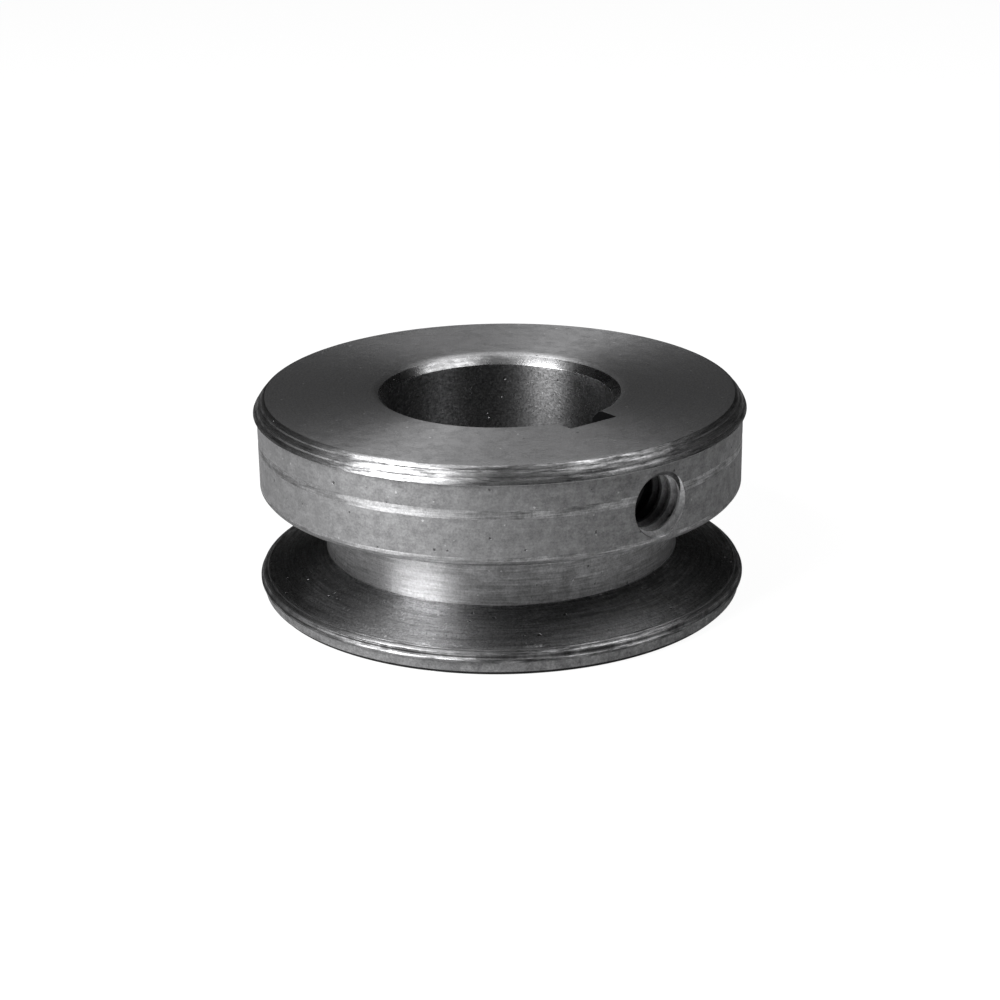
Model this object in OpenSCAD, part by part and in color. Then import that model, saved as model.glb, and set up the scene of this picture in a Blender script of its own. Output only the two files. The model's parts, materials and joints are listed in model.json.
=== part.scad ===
// Single-groove V-belt pulley, turned from one bar of steel, with one set screw.
// The pulley lies on its rim flange: Z = 0 is the flange's flat face and Z is the bore's axis.
// The keyway and the set screw lie along +X. All sizes are in millimetres.

/* [Pulley] */
// Height from the rim flange's flat face to the collar's flat face
total_h = 22.8; // [22.4:0.1:26]
// Diameter of the collar's plain side
collar_d = 54.2; // [53:0.1:56]
// Diameter of the neck at the bottom of the belt groove
neck_d = 39.8; // [38:0.1:42]
// Width of the belt groove at the collar's diameter
groove_w = 9.75; // [9:0.05:10.2]
// Included angle of the belt groove
groove_angle = 34; // [30:1:38]
// Thickness of the collar at its side, above the groove
collar_h = 10.5; // [9.4:0.1:10.8]

/* [Beads and edges] */
// How far the two turned beads stand out from the collar's side
bead_out = 0.4; // [0.2:0.05:0.6]
// Radial width of the slanted bead at the collar's top edge
bead_w = 1.3; // [1:0.1:1.8]
// Height of that bead
bead_h = 1.75; // [1.5:0.05:2.2]
// Radius of the bead's shallow curve
bead_r = 3; // [1.5:0.1:6]
// Radial width of the slanted land at the rim flange's edge
rim_land_w = 1.1; // [0.8:0.1:1.6]
// Slope of that land, steeper than the groove's wall
rim_land_angle = 27; // [22:1:35]
// Radial width of the small bead below the land
rim_bead_w = 0.25; // [0.15:0.05:0.3]
// Height of that bead's side
rim_bead_h = 0.25; // [0.1:0.05:0.3]
// Height of the plain rim below the small bead
rim_h = 1.6; // [1.4:0.05:1.8]
// Edge break at the collar's lower edge and at the rim flange's foot
edge_break = 0.4; // [0.1:0.05:0.5]
// Width of the shallow line turned round the middle of the collar
line_w = 1; // [0.5:0.1:1.5]
// Depth of that line
line_depth = 0.03; // [0.02:0.01:0.2]
// Distance from the collar's flat face down to the line's deepest point
line_drop = 4.8; // [4.5:0.1:5.2]

/* [Bore and keyway] */
// Diameter of the shaft bore
bore_d = 25.4; // [20:0.1:26]
// Chamfer at both ends of the bore
bore_chamfer = 1.2; // [0.5:0.1:1.5]
// Width of the keyway
key_w = 6.35; // [5:0.05:8]
// Distance from the bore's axis to the bottom of the keyway
key_reach = 16.3; // [15:0.1:17]

/* [Set screw] */
// Diameter of the tapped hole, cut at the thread's pitch diameter
tapped_d = 7.02; // [6.8:0.01:7.3]
// Edge break at the mouth of the tapped hole
tapped_break = 0.1; // [0.05:0.01:0.2]
// Depth of the tapped hole's axis below the collar's flat face
tapped_drop = 6.2; // [5.5:0.1:6.3]
// Radial clearance between the screw and the hole
screw_gap = 0.06; // [0.02:0.01:0.1]
// Length of the set screw
screw_l = 6.35; // [5:0.05:8]
// Distance from the bore's axis to the screw's tip
screw_tip_x = 15.5; // [15:0.1:17]
// Width across the flats of the hexagon socket
socket_af = 3.97; // [3:0.01:4.2]
// Depth of the hexagon socket
socket_depth = 3.2; // [2:0.1:4]
// Diameter of the cup at the screw's tip
cup_d = 4; // [3:0.1:5]

/* [Hidden] */
$fn = 96;
overcut = 1;
collar_r = collar_d / 2;
neck_r = neck_d / 2;
bead_outer_r = collar_r + bead_out;
bore_r = bore_d / 2;
wall_slope = tan(groove_angle / 2);
// Heights of the groove's two edges, measured at the collar's radius
groove_top = total_h - collar_h;
groove_bottom = groove_top - groove_w;
// The collar's bead is an arc through its edge on the flat face and the corner of its square foot
bead_chord = norm([bead_w, bead_h]);
bead_centre_back = sqrt(pow(bead_r, 2) - pow(bead_chord / 2, 2));
bead_centre_r = bead_outer_r - bead_w / 2 - bead_centre_back * bead_h / bead_chord;
bead_centre_z = total_h - bead_h / 2 - bead_centre_back * bead_w / bead_chord;
bead_inner_r = bead_outer_r - bead_w;
bead_foot_z = total_h - bead_h;
land_inner_r = bead_outer_r - rim_land_w;
land_corner_r = bead_outer_r - rim_bead_w;
land_drop = (land_corner_r - land_inner_r) * tan(rim_land_angle);
// The small bead's upper face is slanted
rim_bead_angle = 50;
rim_bead_top = rim_h + rim_bead_h + rim_bead_w * tan(rim_bead_angle);
// The line is a lopsided V with its deepest point near its upper edge
line_upper_w = 0.3 * line_w;
line_lower_w = line_w - line_upper_w;
tapped_r = tapped_d / 2;
tapped_z = total_h - tapped_drop;
// The tap runs through into the keyway and ends in open space inside the bore
tapped_start_x = bore_r - overcut;
screw_r = tapped_r - screw_gap;
screw_edge = 0.45;
tip_edge = 0.9;
cup_depth = 1.2;

// Height of the groove's upper or lower wall at radius r
function upper_wall(r) = groove_top - (collar_r - r) * wall_slope;
function lower_wall(r) = groove_bottom + (collar_r - r) * wall_slope;

// Half section of the pulley, before the bore is cut: X is the radius and Y the height
module half_section() {
    land_z = lower_wall(land_inner_r);
    line_z = total_h - line_drop;
    polygon([
        [0, 0],
        [collar_r - edge_break, 0],
        [collar_r, edge_break],
        [collar_r, rim_h],
        [bead_outer_r, rim_h],
        [bead_outer_r, rim_h + rim_bead_h],
        [land_corner_r, rim_bead_top],
        [land_corner_r, land_z - land_drop],
        [land_inner_r, land_z],
        [neck_r, lower_wall(neck_r)],
        [neck_r, upper_wall(neck_r)],
        [collar_r - edge_break, upper_wall(collar_r - edge_break)],
        [collar_r, groove_top + edge_break],
        [collar_r, line_z - line_lower_w],
        [collar_r - line_depth, line_z],
        [collar_r, line_z + line_upper_w],
        [collar_r, bead_foot_z],
        [bead_inner_r, bead_foot_z],
        [bead_inner_r, total_h],
        [0, total_h]
    ]);
    intersection() {
        translate([bead_centre_r, bead_centre_z]) circle(r = bead_r);
        translate([bead_inner_r - overcut, bead_foot_z]) square([bead_w + 2 * overcut, bead_h]);
    }
}

// Bore with a chamfer at each end
module bore_cut() {
    mouth_r = bore_r + bore_chamfer + overcut;
    mouth_h = bore_chamfer + overcut;
    translate([0, 0, -overcut]) cylinder(r = bore_r, h = total_h + 2 * overcut);
    translate([0, 0, -overcut]) cylinder(r1 = mouth_r, r2 = bore_r, h = mouth_h);
    translate([0, 0, total_h - bore_chamfer]) cylinder(r1 = bore_r, r2 = mouth_r, h = mouth_h);
}

// Straight keyway along the bore's +X side
module keyway_cut() {
    translate([0, -key_w / 2, -overcut]) cube([key_reach, key_w, total_h + 2 * overcut]);
}

// Tapped hole from the collar's side through to the keyway
module tapped_hole_cut() {
    // The cone is 45 degrees and meets the hole this far inside the collar's side
    cone_depth = 2 * tapped_break;
    cone_l = cone_depth + overcut;
    translate([tapped_start_x, 0, tapped_z])
        rotate([0, 90, 0])
        cylinder(r = tapped_r, h = collar_r + overcut - tapped_start_x);
    translate([collar_r - cone_depth, 0, tapped_z])
        rotate([0, 90, 0])
        cylinder(r1 = tapped_r - tapped_break, r2 = tapped_r - tapped_break + cone_l, h = cone_l);
}

// Collar, belt groove, neck and rim flange, all one turned piece
module pulley_body() {
    color([0.44, 0.44, 0.45])
    difference() {
        rotate_extrude() half_section();
        bore_cut();
        keyway_cut();
        tapped_hole_cut();
    }
}

// Headless set screw with a hexagon socket at its outer end and a cup at its tip
module set_screw() {
    socket_corner_r = socket_af / 2 / cos(30);
    cup_r = cup_d / 2;
    straight_l = screw_l - tip_edge - screw_edge;
    color([0.1, 0.1, 0.11])
    translate([screw_tip_x, 0, tapped_z])
    rotate([0, 90, 0])
    difference() {
        union() {
            cylinder(r1 = screw_r - tip_edge, r2 = screw_r, h = tip_edge);
            translate([0, 0, tip_edge]) cylinder(r = screw_r, h = straight_l);
            translate([0, 0, screw_l - screw_edge])
                cylinder(r1 = screw_r, r2 = screw_r - screw_edge, h = screw_edge);
        }
        translate([0, 0, screw_l - socket_depth])
            cylinder(r = socket_corner_r, h = socket_depth + overcut, $fn = 6);
        translate([0, 0, -overcut])
            cylinder(r1 = cup_r * (1 + overcut / cup_depth), r2 = 0, h = cup_depth + overcut);
    }
}

pulley_body();
set_screw();
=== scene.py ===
import json
import math

import bmesh
import bpy
from mathutils import Matrix, Vector, noise


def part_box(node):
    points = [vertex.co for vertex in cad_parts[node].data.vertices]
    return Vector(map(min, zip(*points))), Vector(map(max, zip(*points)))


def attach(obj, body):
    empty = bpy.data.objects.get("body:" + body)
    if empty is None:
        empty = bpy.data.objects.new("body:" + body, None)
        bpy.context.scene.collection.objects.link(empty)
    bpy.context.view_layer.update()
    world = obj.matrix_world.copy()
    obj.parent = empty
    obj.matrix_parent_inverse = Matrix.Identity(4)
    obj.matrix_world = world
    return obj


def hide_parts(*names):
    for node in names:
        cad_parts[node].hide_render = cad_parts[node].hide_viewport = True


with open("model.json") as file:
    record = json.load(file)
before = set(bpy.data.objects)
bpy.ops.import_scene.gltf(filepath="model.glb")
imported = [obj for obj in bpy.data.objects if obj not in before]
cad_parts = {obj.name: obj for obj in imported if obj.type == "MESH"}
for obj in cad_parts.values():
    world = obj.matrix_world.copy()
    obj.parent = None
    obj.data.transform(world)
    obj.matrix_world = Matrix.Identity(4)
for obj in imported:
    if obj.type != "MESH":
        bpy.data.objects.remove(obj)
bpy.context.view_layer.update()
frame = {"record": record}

# Lengths are in millimetres unless a name says otherwise, and angles in degrees
MM = 0.001

# Main sizes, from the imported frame
body_low, body_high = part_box("pulley_body")
screw_low, screw_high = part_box("set_screw")
bore_mount = next(m for m in frame["record"]["mounts"] if m["name"] == "bore")
HEIGHT = body_high.z / MM
BEAD_OUTER = body_high.x / MM
BORE = bore_mount["dims"]["r_mm"]
SCREW_TIP_X = screw_low.x / MM
SCREW_HEAD_X = screw_high.x / MM
SCREW_Z = (screw_low.z + screw_high.z) / 2 / MM

# The pulley's half section
COLLAR = 27.1
NECK = 19.9
GROOVE_TOP = 12.3
GROOVE_W = 9.75
GROOVE_SLOPE = math.tan(math.radians(17))
BEAD_W = 1.3
BEAD_H = 1.75
BEAD_VALLEYS = ((0.44, 0.45), (0.94, 1.12))
BEAD_SWELL = 0.05
SEAM_SHARE = 0.11
BURNISH_W = 0.45
RIM_H = 1.6
RIM_BEAD_W = 0.25
RIM_BEAD_H = 0.25
RIM_BEAD_SLOPE = math.tan(math.radians(42))
LAND_W = 1.1
LAND_SLOPE = math.tan(math.radians(27))
LAND_VALLEY = (0.3, 0.12)
LAND_SWELL = 0.03
LAND_SEAM = 0.1
EDGE_BREAK = 0.4
LINE_DROP = 4.8
LINE_UPPER_W = 0.3
LINE_LOWER_W = 0.7
LINE_DEPTH = 0.03
BORE_CHAMFER = 1.2
CHAMFER_ROUND = 0.5
NECK_SEAM = 0.12
CORNER_ROUND = 0.05

# A corner that turns less than LEAST_TURN stays sharp, and any other has a step for each ROUND_STEP
LEAST_TURN = 12
ROUND_STEP = 15
ROUND_SHARE = 0.45
RIDGE_STEPS = 8

# Uneven wear of the beads and edges, and the small nicks in it
WEAR = 0.012
WEAR_WAVES = 3
NICK_WAVES = 9
NICK_SHIFT = 50
NICK_LEVEL = 0.25
NICK_DEPTH = 3

# Keyway, and its tool's start and its overrun above and below
KEY_W = 6.35
KEY_REACH = 16.3
KEY_TOOL_START = 2
KEY_OVERRUN = 5

# 5/16-18 thread, shown with flat crests and roots
PITCH = 25.4 / 18
THREAD_ROOT = 3.6
THREAD_CREST = 3.1
THREAD_GAP = 0.06
THREAD_PHASE = 0.58
CREST_SHARE = 0.25
FLANK_ANGLE = 30
HOLE_TOOL_START = 8
HOLE_TOOL_TURNS = 17
MOUTH_DEPTH = 0.52
MOUTH_INSIDE = 0.02

# Set screw
SOCKET_AF = 3.97
SOCKET_DEPTH = 3.2
CUP_R = 2.0
CUP_DEPTH = 1.2
TIP_EDGE = 0.9
HEAD_EDGE = 0.45
SOCKET_BREAK = 0.2
DRILL_TIP_L = 0.6
DRILL_TIP_R = 0.2

# Cutting tools for the screw
SCREW_LEAD_TURNS = 4
SCREW_TURNS = 13
BLANK_PROUD = 0.01
CUP_POINT_R = 0.01

# Mesh fineness
SEGMENTS = 360
THREAD_SEGMENTS = 72
LONGEST_STEP = 1.2
SHARPEST_SMOOTH = 28

# Steel surface detail
NOISE_LOW = 0.38
NOISE_HIGH = 0.62
GRAIN_LOW = 0.35
GRAIN_HIGH = 0.65
GRAIN_SIZE = 0.24
DING_SIZE = 0.28
DING_TONE = 0.8
PIT_SIZE = 0.35
PIT_TONE = -0.6
PIT_HEIGHT = -1.5
BUMP_DEPTH = 0.02
COOL_TINT = 1.015
ROUGH_SPREAD = 0.04
LINE_ROUGH = 0.1

# The painted shade in the tapped hole: the side it darkens, as a direction from the hole's axis, and where
# along it the shade lies
HOLE_SHADE_SIDE = (0, 0.75, -0.66)
HOLE_SHADE_START = 0.5
HOLE_SHADE_WIDTH = 3.1
HOLE_SHADE_SHARE = 0.36

# Studio
CAMERA_AZIMUTH = -37.6
CAMERA_REACH = 230.5
CAMERA_ASIDE = -0.1
CAMERA_HEIGHT = 95.1
CAMERA_TILT = 20.4
CAMERA_ROLL = 0.69
CAMERA_LENS = 77.8
CAMERA_SENSOR = 36
CAMERA_NEAREST = 10
CAMERA_FARTHEST = 20000
FLOOR_SIZE = 3000
FLOOR_PALE = 0.12
FLOOR_GLOW = 0.94
TABLE_GREY = 0.23
WORLD_GLOW = 0.008

# Each light: name, azimuth from the camera's, reach, height, width, tall, watts
LIGHTS = (
    ("key", -53, 400, 280, 260, 420, 4.2),
    ("fill", 80, 300, 480, 380, 320, 0.78),
    ("top", 180, 120, 620, 500, 500, 0.9),
)


# ---------------------------------------------------------------- mesh helpers

def make_object(name, verts, faces, materials, zones=None):
    """A mesh object from points in millimetres, with a material index for each face."""
    mesh = bpy.data.meshes.new(name)
    mesh.from_pydata([[c * MM for c in v] for v in verts], [], faces)
    for m in materials:
        mesh.materials.append(m)
    if zones:
        mesh.polygons.foreach_set("material_index", zones)
    made = bpy.data.objects.new(name, mesh)
    bpy.context.scene.collection.objects.link(made)
    return made


def face_outward(made):
    bm = bmesh.new()
    bm.from_mesh(made.data)
    bmesh.ops.recalc_face_normals(bm, faces=bm.faces)
    bm.to_mesh(made.data)
    bm.free()


def combine(target, tool, operation="DIFFERENCE"):
    """Cuts target with tool, or keeps what they share, and removes the tool."""
    face_outward(tool)
    step = target.modifiers.new("cut", "BOOLEAN")
    step.object = tool
    step.operation = operation
    step.solver = "EXACT"
    step.material_mode = "TRANSFER"
    graph = bpy.context.evaluated_depsgraph_get()
    result = bpy.data.meshes.new_from_object(target.evaluated_get(graph))
    target.modifiers.clear()
    old = target.data
    target.data = result
    bpy.data.meshes.remove(old)
    bpy.data.objects.remove(tool)


def shade_smooth(made):
    """Smooth shading that keeps sharp edges crisp."""
    for p in made.data.polygons:
        p.use_smooth = True
    made.data.set_sharp_from_angle(angle=math.radians(SHARPEST_SMOOTH))


def block(name, low, high, material):
    verts = []
    for z in (low[2], high[2]):
        verts += [(low[0], low[1], z), (high[0], low[1], z), (high[0], high[1], z), (low[0], high[1], z)]
    sides = [(i, (i + 1) % 4, (i + 1) % 4 + 4, i + 4) for i in range(4)]
    return make_object(name, verts, [(3, 2, 1, 0), (4, 5, 6, 7)] + sides, [material])


def turned_along_x(name, outline, sides, material):
    """A solid turned round the screw's axis from (x, r) points."""
    verts = []
    faces = []
    for x, r in outline:
        for s in range(sides):
            a = 2 * math.pi * s / sides
            verts.append((x, r * math.cos(a), SCREW_Z + r * math.sin(a)))
    for k in range(len(outline) - 1):
        for s in range(sides):
            n = (s + 1) % sides
            faces.append((k * sides + s, k * sides + n, (k + 1) * sides + n, (k + 1) * sides + s))
    last = (len(outline) - 1) * sides
    faces.append(tuple(range(sides)))
    faces.append(tuple(range(last, last + sides)))
    return make_object(name, verts, faces, [material])


def thread_bar(name, start_x, turns, shrink, material):
    """A closed right-hand threaded bar along X. Every bar is in step with every other one."""
    flank = (THREAD_ROOT - THREAD_CREST) * math.tan(math.radians(FLANK_ANGLE)) / PITCH
    profile = [
        (0, THREAD_CREST),
        (CREST_SHARE, THREAD_CREST),
        (CREST_SHARE + flank, THREAD_ROOT),
        (1 - flank, THREAD_ROOT),
    ]
    first = math.ceil(start_x / PITCH) + THREAD_PHASE
    n = THREAD_SEGMENTS
    total = n * turns
    verts = []
    for s in range(total + 1):
        a = 2 * math.pi * s / n
        for share, r in profile:
            x = PITCH * (first + share + s / n)
            verts.append((x, (r - shrink) * math.cos(a), SCREW_Z + (r - shrink) * math.sin(a)))
    faces = []
    for s in range(total):
        faces += [(4 * s + k, 4 * s + k + 1, 4 * s + k + 5, 4 * s + k + 4) for k in range(3)]
    for s in range(total - n):
        faces.append((4 * s + 3, 4 * (s + n), 4 * (s + n + 1), 4 * s + 7))
    low_hub = len(verts)
    verts.append((PITCH * (first + 0.5), 0, SCREW_Z))
    verts.append((PITCH * (first + turns + 0.5), 0, SCREW_Z))
    low_rim = [4 * s for s in range(n + 1)] + [3, 2, 1]
    high_rim = [4 * s + 3 for s in range(total, total - n - 1, -1)] + [4 * total + k for k in range(3)]
    for hub, rim in ((low_hub, low_rim), (low_hub + 1, high_rim)):
        faces += [(hub, rim[(i + 1) % len(rim)], v) for i, v in enumerate(rim)]
    made = make_object(name, verts, faces, [material])
    face_outward(made)
    return made


# ---------------------------------------------------------------- material nodes

class Nodes:
    """A small helper that adds nodes to one material's tree."""

    def __init__(self, name):
        self.material = bpy.data.materials.new(name)
        self.material.use_nodes = True
        self.tree = self.material.node_tree
        self.tree.nodes.clear()

    def add(self, kind, inputs=None, **settings):
        node = self.tree.nodes.new("ShaderNode" + kind)
        for key, value in settings.items():
            setattr(node, key, value)
        for key, value in (inputs or {}).items():
            socket = node.inputs[key]
            if isinstance(value, bpy.types.NodeSocket):
                self.tree.links.new(value, socket)
            else:
                socket.default_value = value
        return node

    def math(self, operation, a, b=0.0, c=0.0):
        return self.add("Math", {0: a, 1: b, 2: c}, operation=operation).outputs[0]

    def noise(self, vector, scale, detail=3.0, rough=0.55):
        inputs = {"Vector": vector, "Scale": scale, "Detail": detail, "Roughness": rough}
        return self.add("TexNoise", inputs).outputs[0]

    def spread(self, value, low, high, to_low=0.0, to_high=1.0):
        """Maps low..high onto to_low..to_high, held at the ends."""
        inputs = {0: value, 1: low, 2: high, 3: to_low, 4: to_high}
        return self.add("MapRange", inputs, clamp=True).outputs[0]

    def finish(self, shader):
        self.add("OutputMaterial", {"Surface": shader.outputs[0]})
        return self.material


def lathe_lines(n, along_r, along_z, fineness, wander):
    """Noise drawn out round the Z axis, as fine lines that a lathe tool leaves."""
    place = n.add("TexCoord").outputs["Object"]
    flat = n.add("VectorMath", {0: place, 1: (1, 1, 0)}, operation="MULTIPLY").outputs[0]
    radius = n.add("VectorMath", {0: flat}, operation="LENGTH").outputs["Value"]
    around = n.add("VectorMath", {0: flat}, operation="NORMALIZE").outputs[0]
    across = n.math("MULTIPLY", radius, along_r / MM)
    height = n.add("SeparateXYZ", {0: place}).outputs[2]
    across = n.math("MULTIPLY_ADD", height, along_z / MM, across)
    across = n.math("MULTIPLY", across, fineness)
    around = n.add("VectorMath", {0: around, "Scale": wander}, operation="SCALE").outputs[0]
    lift = n.add("CombineXYZ", {2: across}).outputs[0]
    where = n.add("VectorMath", {0: around, 1: lift}, operation="ADD").outputs[0]
    return n.noise(where, 1.0, 4.0, 0.65)


def specks(n, size, share):
    """Small irregular spots, scattered where a random number for each cell is high."""
    place = n.add("TexCoord").outputs["Object"]
    bend = n.add("TexNoise", {"Vector": place, "Scale": 1 / (size * 0.8 * MM), "Detail": 2.0}).outputs[1]
    bend = n.add("VectorMath", {0: bend, "Scale": size * 0.9 * MM}, operation="SCALE").outputs[0]
    place = n.add("VectorMath", {0: place, 1: bend}, operation="ADD").outputs[0]
    cells = n.add("TexVoronoi", {"Vector": place, "Scale": 1 / (3 * size * MM)})
    parts = n.add("SeparateXYZ", {0: cells.outputs["Color"]})
    reach = n.math("MULTIPLY_ADD", parts.outputs[1], 0.12, 0.08)
    spot = n.math("SUBTRACT", reach, cells.outputs["Distance"])
    spot = n.spread(spot, 0.0, 0.05)
    pick = n.math("GREATER_THAN", parts.outputs[0], 1 - share)
    return n.math("MULTIPLY", spot, pick)


def steel(name, grey, roughness, anisotropy=0.0, metallic=1.0, lines=(), mottle=0.12, mottle_size=1.6,
          grain=0.1, grain_bump=0.3, dings=0.02, pits=0.02, fade=None, side_shade=None):
    """Machined steel with patches, grain, bright dings, dark pits and turning marks.

    Each entry of lines is (along_r, along_z, fineness, wander, tone, bump). fade is (start, end, share)
    and paints shade:
    the steel gets darker from the end radius inward, down to that share of its tone at the start radius.
    The last argument is (direction, start, end, share) and paints shade too: the steel gets darker along
    the direction in the same way.
    """
    n = Nodes(name)
    place = n.add("TexCoord").outputs["Object"]
    patch = n.noise(place, 1 / (mottle_size * MM), 5.0, 0.65)
    fine = n.noise(place, 1 / (GRAIN_SIZE * MM), 3.0, 0.7)
    tone = n.spread(patch, NOISE_LOW, NOISE_HIGH, 1 - mottle, 1 + mottle)
    tone = n.math("MULTIPLY", tone, n.spread(fine, GRAIN_LOW, GRAIN_HIGH, 1 - grain, 1 + grain))
    height = n.math("MULTIPLY", fine, grain_bump)
    rough = n.spread(patch, NOISE_LOW, NOISE_HIGH, roughness + ROUGH_SPREAD, roughness - ROUGH_SPREAD)
    for along_r, along_z, fineness, wander, line_tone, line_bump in lines:
        marks = lathe_lines(n, along_r, along_z, fineness, wander)
        shine = LINE_ROUGH * line_tone
        shade = n.spread(marks, NOISE_LOW, NOISE_HIGH, 1 - line_tone, 1 + line_tone)
        tone = n.math("MULTIPLY", tone, shade)
        rough = n.math("ADD", rough, n.spread(marks, NOISE_LOW, NOISE_HIGH, shine, -shine))
        height = n.math("MULTIPLY_ADD", marks, line_bump, height)
    # Painted shade: darker from the end radius inward
    if fade:
        start, end, share = fade
        flat = n.add("VectorMath", {0: place, 1: (1, 1, 0)}, operation="MULTIPLY").outputs[0]
        radius = n.add("VectorMath", {0: flat}, operation="LENGTH").outputs["Value"]
        tone = n.math("MULTIPLY", tone, n.spread(radius, start * MM, end * MM, share, 1.0))
    # Painted shade: darker along the given direction
    if side_shade:
        direction, start, end, share = side_shade
        along = n.add("VectorMath", {0: place, 1: direction}, operation="DOT_PRODUCT").outputs["Value"]
        tone = n.math("MULTIPLY", tone, n.spread(along, start * MM, end * MM, 1.0, share))
    ding = specks(n, DING_SIZE, dings)
    pit = specks(n, PIT_SIZE, pits)
    tone = n.math("MULTIPLY_ADD", ding, DING_TONE, tone)
    tone = n.math("MULTIPLY", tone, n.math("MULTIPLY_ADD", pit, PIT_TONE, 1.0))
    height = n.math("MULTIPLY_ADD", pit, PIT_HEIGHT, height)
    shade = n.math("MULTIPLY", tone, grey)
    cool = n.math("MULTIPLY", shade, COOL_TINT)
    bump = n.add("Bump", {"Strength": 1.0, "Distance": BUMP_DEPTH * MM, "Height": height})
    inputs = {
        "Base Color": n.add("CombineColor", {0: shade, 1: shade, 2: cool}).outputs[0],
        "Metallic": metallic,
        "Roughness": rough,
        "Normal": bump.outputs[0],
    }
    if anisotropy:
        inputs["Anisotropic"] = anisotropy
        inputs["Anisotropic Rotation"] = 0.25
        inputs["Tangent"] = n.add("Tangent", direction_type="RADIAL", axis="Z").outputs[0]
    return n.finish(n.add("BsdfPrincipled", inputs))


def turned_steel_zones():
    """One material for each kind of surface on the pulley, in the order of the zone numbers."""
    side_shade_start = HOLE_SHADE_SIDE[2] * SCREW_Z + HOLE_SHADE_START
    return [
        steel("turned_face", 0.41, 0.42, 0.7, 0.94, [(1, 0, 7, 2.5, 0.05, 0.2)],
              mottle=0.1, mottle_size=1.4, grain=0.17, grain_bump=0.9, dings=0.14, pits=0.06),
        steel("bead", 0.29, 0.41, 0.7, 1.0, [(1, -1, 1.8, 7, 0.6, 0.6), (1, -1, 6, 12, 0.3, 0.4)],
              mottle=0.14, mottle_size=0.9, grain=0.15, dings=0.08),
        steel("collar_side", 0.35, 0.55, 0.2, 0.92, [(0, 1, 2, 9, 0.08, 0.1)],
              mottle=0.17, mottle_size=1.2, grain=0.18, grain_bump=1.0, dings=0.2, pits=0.24),
        steel("burnished_line", 0.58, 0.41, 0.75, 1.0, [(0, 1, 2.4, 6, 0.35, 0.4), (0, 1, 8, 8, 0.2, 0.3)],
              mottle=0.24, mottle_size=1.1, grain=0.18, dings=0.05),
        steel("collar_edge", 0.42, 0.42, 0.5, 0.96, [(0, 1, 4, 5, 0.2, 0.4)],
              mottle=0.2, mottle_size=0.9, dings=0.05),
        # Painted shade: the groove's lower wall darkens towards the neck, to 0.6 of its tone at radius 20
        steel("groove_wall", 0.36, 0.35, 0.78, 1.0, [(1, 0, 1.8, 3.5, 0.3, 0.6), (1, 0, 5, 7, 0.25, 0.4)],
              mottle=0.2, mottle_size=1.0, grain=0.34, grain_bump=0.8, dings=0.3, pits=0.35,
              fade=(20, 25.5, 0.6)),
        steel("neck", 0.57, 0.35, 0.8, 1.0, [(0, 1, 2.5, 4, 0.16, 0.4), (0, 1, 6, 5, 0.14, 0.4)],
              mottle=0.12, mottle_size=1.1, grain=0.18, grain_bump=0.5, dings=0.12, pits=0.1),
        steel("rim_side", 0.38, 0.5, 0.3, 0.92, [(0, 1, 3, 6, 0.1, 0.2)],
              mottle=0.24, mottle_size=0.9, grain=0.22, grain_bump=0.9, dings=0.12, pits=0.12),
        steel("bore_chamfer", 0.38, 0.28, 0.68, 1.0, [(0, 1, 3, 6, 0.25, 0.5)],
              mottle=0.16, mottle_size=0.9, grain=0.12, grain_bump=0.4, dings=0.12, pits=0.2),
        steel("bore_wall", 0.25, 0.34, 0.8, 1.0, [(0, 1, 3, 22, 0.35, 0.5), (0, 1, 7, 8, 0.15, 0.5)],
              mottle=0.22, mottle_size=0.8, grain=0.4, grain_bump=1.0, dings=0.25, pits=0.3),
        # Painted shade: the keyway's walls are near black
        steel("keyway", 0.02, 0.5, mottle=0.2),
        # Painted shade in the tapped hole: the thread darkens with depth, and towards the given direction,
        # which points down and to one side
        steel("thread", 0.74, 0.42, 0.0, 0.6, mottle=0.2, mottle_size=0.8, grain=0.2,
              fade=(22, 25.6, 0.02), side_shade=(HOLE_SHADE_SIDE, side_shade_start, side_shade_start + HOLE_SHADE_WIDTH, HOLE_SHADE_SHARE)),
        # Painted contact shadow: the bottom edge break, where the pulley meets the floor, is near black
        steel("foot_edge", 0.06, 0.55, mottle=0.3),
        # The seam zone is painted shade: a dark strip in the bead's and land's valleys, on the rim bead's
        # slanted face, at the neck's foot and in the tapped hole's mouth
        steel("dirty_seam", 0.2, 0.45, lines=[(1, 0, 0.5, 9, 0.6, 0.0)], mottle=0.3),
    ]


FACE, BEAD, SIDE, LINE, EDGE, WALL, NECK_ZONE, RIM, CHAMFER, BORE_ZONE, KEY, THREAD, FOOT, SEAM = range(14)
steel_zones = turned_steel_zones()
black_oxide = steel("black_oxide", 0.05, 0.38, mottle=0.2, dings=0.0, pits=0.03)


# ---------------------------------------------------------------- pulley body

def lower_wall(r):
    return GROOVE_TOP - GROOVE_W + (COLLAR - r) * GROOVE_SLOPE


def upper_wall(r):
    return GROOVE_TOP - (COLLAR - r) * GROOVE_SLOPE


def ridges(ends, rise):
    """Shallow arcs from each point to the next one, with a thin strip of painted shade on both sides of a
    valley.
    """
    points = []
    last = len(ends) - 2
    for i, (start, end) in enumerate(zip(ends, ends[1:])):
        a = Vector(start)
        b = Vector(end)
        out = Vector((b.y - a.y, a.x - b.x)).normalized()
        shares = [k / RIDGE_STEPS for k in range(RIDGE_STEPS)]
        if i > 0:
            shares.insert(1, SEAM_SHARE)
        if i < last:
            shares.append(1 - SEAM_SHARE)
        for t in shares:
            p = a.lerp(b, t) + out * rise * 4 * t * (1 - t)
            seam = (i > 0 and t == 0) or (i < last and t == 1 - SEAM_SHARE)
            points.append((p.x, p.y, SEAM if seam else BEAD))
    return points


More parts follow.
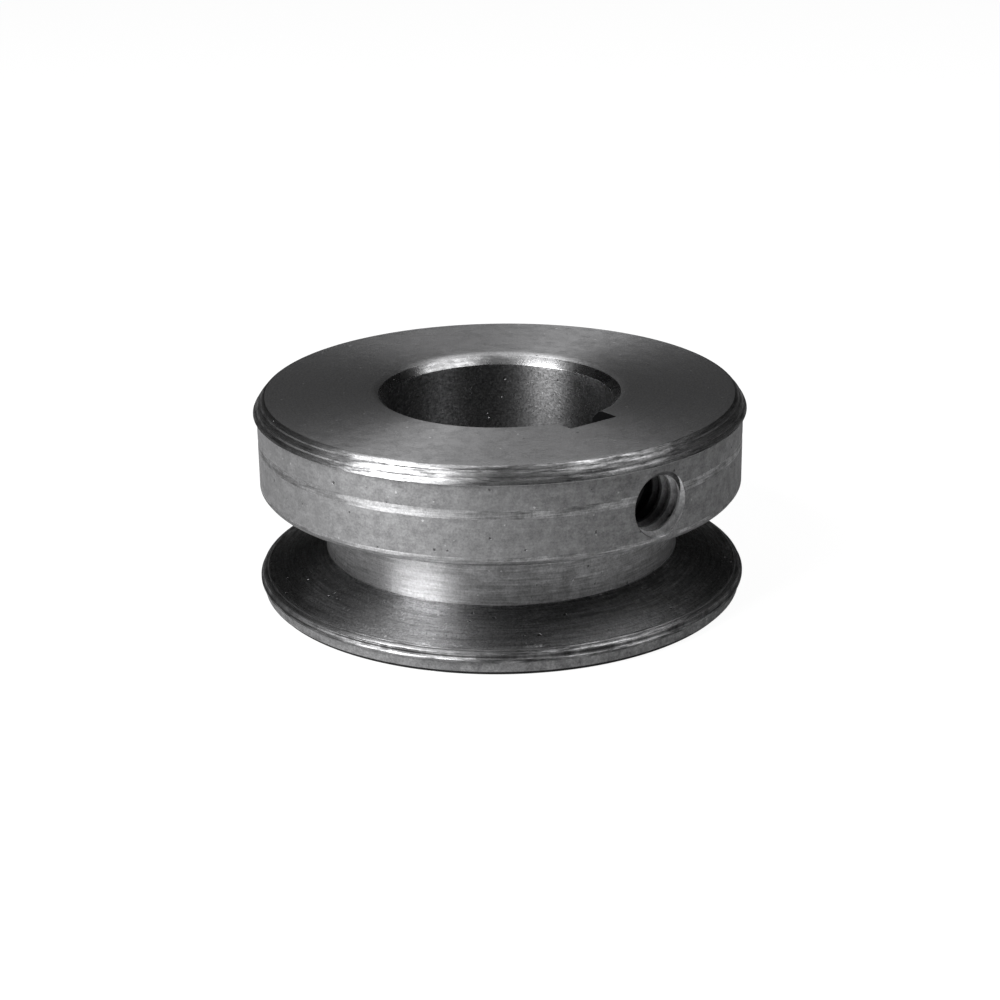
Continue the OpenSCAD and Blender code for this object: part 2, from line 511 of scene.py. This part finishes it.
def bead_points():
    """The collar's bead from its foot to the flat face: three ridges with a valley between each two."""
    foot = (BEAD_OUTER, HEIGHT - BEAD_H)
    inner = BEAD_OUTER - BEAD_W
    valleys = [(inner + across, HEIGHT - down) for across, down in reversed(BEAD_VALLEYS)]
    return ridges([foot, *valleys, (inner, HEIGHT)], BEAD_SWELL) + [(inner, HEIGHT, FACE)]


def land_points():
    """The rim flange's slanted land from its outer corner inward: two ridges with a valley between."""
    inner = BEAD_OUTER - LAND_W
    corner = BEAD_OUTER - RIM_BEAD_W
    top = lower_wall(inner)
    drop = (corner - inner) * LAND_SLOPE
    valley = (inner + LAND_VALLEY[0], top - LAND_VALLEY[1])
    low_edge = (corner - LAND_SEAM, top - drop + LAND_SEAM * LAND_SLOPE)
    ridge = ridges([low_edge, valley, (inner, top)], LAND_SWELL)
    # The land's outer edge strip gets the seam zone's painted shade
    return [(corner, top - drop, SEAM), *ridge, (inner, top, WALL)]


def body_outline():
    """The half section as (r, z, zone), where zone is that of the surface that starts at the point."""
    line_z = HEIGHT - LINE_DROP
    rim_bead_inner = BEAD_OUTER - RIM_BEAD_W
    rim_bead_top = RIM_H + RIM_BEAD_H + RIM_BEAD_W * RIM_BEAD_SLOPE
    return [
        (BORE + BORE_CHAMFER, 0, FACE),
        # The bottom edge break gets the foot zone's painted contact shadow
        (COLLAR - EDGE_BREAK, 0, FOOT),
        (COLLAR, EDGE_BREAK, RIM),
        (COLLAR, RIM_H, BEAD),
        (BEAD_OUTER, RIM_H, BEAD),
        (BEAD_OUTER, RIM_H + RIM_BEAD_H, BEAD),
        # The rim bead's slanted face gets the seam zone's painted shade
        (BEAD_OUTER - RIM_BEAD_W / 2, (RIM_H + RIM_BEAD_H + rim_bead_top) / 2, SEAM),
        (rim_bead_inner, rim_bead_top, SEAM),
        *land_points(),
        # The neck's foot gets a thin strip of the seam zone's painted shade
        (NECK, lower_wall(NECK), SEAM),
        (NECK, lower_wall(NECK) + NECK_SEAM, NECK_ZONE),
        (NECK, upper_wall(NECK), WALL),
        (COLLAR - EDGE_BREAK, upper_wall(COLLAR - EDGE_BREAK), EDGE),
        (COLLAR, GROOVE_TOP + EDGE_BREAK, LINE),
        (COLLAR, GROOVE_TOP + EDGE_BREAK + BURNISH_W, SIDE),
        (COLLAR, line_z - LINE_LOWER_W, LINE),
        (COLLAR - LINE_DEPTH, line_z, LINE),
        (COLLAR, line_z + LINE_UPPER_W, SIDE),
        (COLLAR, HEIGHT - BEAD_H, SIDE),
        *bead_points(),
        (BORE + BORE_CHAMFER, HEIGHT, CHAMFER),
        (BORE, HEIGHT - BORE_CHAMFER, BORE_ZONE),
        (BORE, BORE_CHAMFER, CHAMFER),
    ]


def corner_reach(r, z):
    """How far from a corner its rounding starts."""
    if r > COLLAR - 2 * EDGE_BREAK and abs(z - GROOVE_TOP) <= EDGE_BREAK:
        return 0.5 * EDGE_BREAK
    if abs(r - BORE - BORE_CHAMFER) < CORNER_ROUND:
        return CHAMFER_ROUND
    return CORNER_ROUND


def with_round_corners(points):
    """The same closed outline with a curve at each sharp corner."""
    out = []
    for i, (r, z, zone) in enumerate(points):
        here = Vector((r, z))
        back = Vector(points[i - 1][:2]) - here
        ahead = Vector(points[(i + 1) % len(points)][:2]) - here
        turn = math.pi - back.angle(ahead)
        if turn < math.radians(LEAST_TURN):
            out.append((r, z, zone))
            continue
        reach = min(corner_reach(r, z), ROUND_SHARE * back.length, ROUND_SHARE * ahead.length)
        start = here + back.normalized() * reach
        end = here + ahead.normalized() * reach
        steps = max(2, round(math.degrees(turn) / ROUND_STEP))
        for k in range(steps + 1):
            t = k / steps
            p = start * (1 - t) ** 2 + here * (2 * t * (1 - t)) + end * t ** 2
            out.append((p.x, p.y, points[i - 1][2] if k < steps else zone))
    return out


def with_short_steps(points):
    """The same closed outline with its long straight stretches divided."""
    out = []
    for i, (r, z, zone) in enumerate(points):
        ahead = points[(i + 1) % len(points)]
        parts = max(1, math.ceil(math.dist((r, z), ahead[:2]) / LONGEST_STEP))
        for k in range(parts):
            t = k / parts
            out.append((r + (ahead[0] - r) * t, z + (ahead[1] - z) * t, zone))
    return out


def worn(r, z, a, zone):
    """Wears the beads and edges unevenly by a few hundredths, always inward."""
    if zone not in (BEAD, RIM, EDGE, FOOT):
        return r
    wave = noise.noise(Vector((WEAR_WAVES * math.cos(a), WEAR_WAVES * math.sin(a), z)))
    nick = noise.noise(Vector((NICK_WAVES * math.cos(a), NICK_WAVES * math.sin(a), 2 * z + NICK_SHIFT)))
    return r - WEAR * (1 + wave) - WEAR * max(0, nick - NICK_LEVEL) * NICK_DEPTH


def lathe(name, outline, materials):
    """Turns a closed outline once round Z."""
    count = len(outline)
    verts = []
    faces = []
    zones = []
    for s in range(SEGMENTS):
        a = 2 * math.pi * s / SEGMENTS
        for r, z, zone in outline:
            r = worn(r, z, a, zone)
            verts.append((r * math.cos(a), r * math.sin(a), z))
        here = s * count
        there = (s + 1) % SEGMENTS * count
        for k in range(count):
            n = (k + 1) % count
            faces.append((here + k, there + k, there + n, here + n))
            zones.append(outline[k][2])
    made = make_object(name, verts, faces, materials, zones)
    face_outward(made)
    return made


def cut_keyway(body):
    low = (KEY_TOOL_START, -KEY_W / 2, -KEY_OVERRUN)
    high = (KEY_REACH, KEY_W / 2, HEIGHT + KEY_OVERRUN)
    combine(body, block("keyway_tool", low, high, steel_zones[KEY]))


def cut_tapped_hole(body):
    """Cuts the threaded hole, then its countersink, which gets the seam zone's painted shade."""
    combine(body, thread_bar("thread_tool", HOLE_TOOL_START, HOLE_TOOL_TURNS, 0, steel_zones[THREAD]))
    mouth = [
        (COLLAR - MOUTH_DEPTH, THREAD_CREST - MOUTH_INSIDE),
        (COLLAR + MOUTH_DEPTH, THREAD_CREST + 2 * MOUTH_DEPTH),
    ]
    combine(body, turned_along_x("mouth_tool", mouth, THREAD_SEGMENTS, steel_zones[SEAM]))


def build_body():
    outline = with_short_steps(with_round_corners(body_outline()))
    body = lathe("pulley", outline, steel_zones)
    cut_keyway(body)
    cut_tapped_hole(body)
    shade_smooth(body)
    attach(body, "pulley")
    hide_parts("pulley_body")


# ---------------------------------------------------------------- set screw

def build_screw():
    thread_start = SCREW_TIP_X - SCREW_LEAD_TURNS * PITCH
    screw = thread_bar("screw", thread_start, SCREW_TURNS, THREAD_GAP, black_oxide)
    crest = THREAD_ROOT - THREAD_GAP
    blank = [
        (SCREW_TIP_X, crest - TIP_EDGE),
        (SCREW_TIP_X + TIP_EDGE, crest + BLANK_PROUD),
        (SCREW_HEAD_X - HEAD_EDGE, crest + BLANK_PROUD),
        (SCREW_HEAD_X, crest - HEAD_EDGE),
    ]
    combine(screw, turned_along_x("blank_tool", blank, THREAD_SEGMENTS, black_oxide), "INTERSECT")
    corner = SOCKET_AF / 2 / math.cos(math.radians(30))
    socket = [
        (SCREW_HEAD_X - SOCKET_DEPTH - DRILL_TIP_L, DRILL_TIP_R),
        (SCREW_HEAD_X - SOCKET_DEPTH, corner),
        (SCREW_HEAD_X - SOCKET_BREAK, corner),
        (SCREW_HEAD_X + SOCKET_BREAK, corner + 2 * SOCKET_BREAK),
    ]
    combine(screw, turned_along_x("socket_tool", socket, 6, black_oxide))
    cup = [
        (SCREW_TIP_X - CUP_DEPTH, 2 * CUP_R),
        (SCREW_TIP_X + CUP_DEPTH, CUP_POINT_R),
    ]
    combine(screw, turned_along_x("cup_tool", cup, THREAD_SEGMENTS, black_oxide))
    shade_smooth(screw)
    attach(screw, "screw")
    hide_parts("set_screw")


# ---------------------------------------------------------------- studio

def floor_material():
    """A pale floor that metal reflects as a mid-grey table top, with the object's shadow on it."""
    n = Nodes("pale_floor")
    pale = n.add("BsdfPrincipled", {
        "Base Color": (FLOOR_PALE, FLOOR_PALE, FLOOR_PALE, 1),
        "Roughness": 0.9,
        "Specular IOR Level": 0.0,
        "Emission Color": (1, 1, 1, 1),
        "Emission Strength": FLOOR_GLOW,
    })
    table = n.add("BsdfDiffuse", {"Color": (TABLE_GREY, TABLE_GREY, TABLE_GREY, 1)})
    seen_in_metal = n.add("LightPath").outputs["Is Glossy Ray"]
    return n.finish(n.add("MixShader", {0: seen_in_metal, 1: pale.outputs[0], 2: table.outputs[0]}))


def build_floor():
    corners = [(-1, -1), (1, -1), (1, 1), (-1, 1)]
    verts = [(x * FLOOR_SIZE, y * FLOOR_SIZE, 0) for x, y in corners]
    make_object("floor", verts, [(0, 1, 2, 3)], [floor_material()])


def around_axis(azimuth, reach, height=0):
    a = math.radians(azimuth)
    return Vector((reach * math.cos(a), reach * math.sin(a), height)) * MM


def build_camera():
    data = bpy.data.cameras.new("camera")
    data.lens = CAMERA_LENS
    data.sensor_width = CAMERA_SENSOR
    data.clip_start = CAMERA_NEAREST * MM
    data.clip_end = CAMERA_FARTHEST * MM
    camera = bpy.data.objects.new("camera", data)
    bpy.context.scene.collection.objects.link(camera)
    camera.location = around_axis(CAMERA_AZIMUTH, CAMERA_REACH, CAMERA_HEIGHT)
    camera.location += around_axis(CAMERA_AZIMUTH + 90, CAMERA_ASIDE)
    heading = Matrix.Rotation(math.radians(CAMERA_AZIMUTH + 90), 3, "Z")
    tilt = Matrix.Rotation(math.radians(90 - CAMERA_TILT), 3, "X")
    roll = Matrix.Rotation(math.radians(-CAMERA_ROLL), 3, "Z")
    camera.rotation_euler = (heading @ tilt @ roll).to_euler()
    bpy.context.scene.camera = camera


def softbox(name, azimuth, reach, height, width, tall, watts):
    """An area light aimed at the pulley. Its azimuth counts from the camera's, positive to the right."""
    data = bpy.data.lights.new(name, "AREA")
    data.shape = "RECTANGLE"
    data.size = width * MM
    data.size_y = tall * MM
    data.energy = watts
    light = bpy.data.objects.new(name, data)
    bpy.context.scene.collection.objects.link(light)
    light.location = around_axis(CAMERA_AZIMUTH + azimuth, reach, height)
    aim = Vector((0, 0, HEIGHT / 2 * MM)) - light.location
    light.rotation_euler = aim.to_track_quat("-Z", "Y").to_euler()


def build_lights():
    for light in LIGHTS:
        softbox(*light)
    world = bpy.data.worlds.new("studio")
    world.use_nodes = True
    world.node_tree.nodes["Background"].inputs["Strength"].default_value = WORLD_GLOW
    world.node_tree.nodes["Background"].inputs["Color"].default_value = (1, 1, 1, 1)
    bpy.context.scene.world = world
    bpy.context.scene.view_settings.view_transform = "Standard"


build_body()
build_screw()
build_floor()
build_camera()
build_lights()
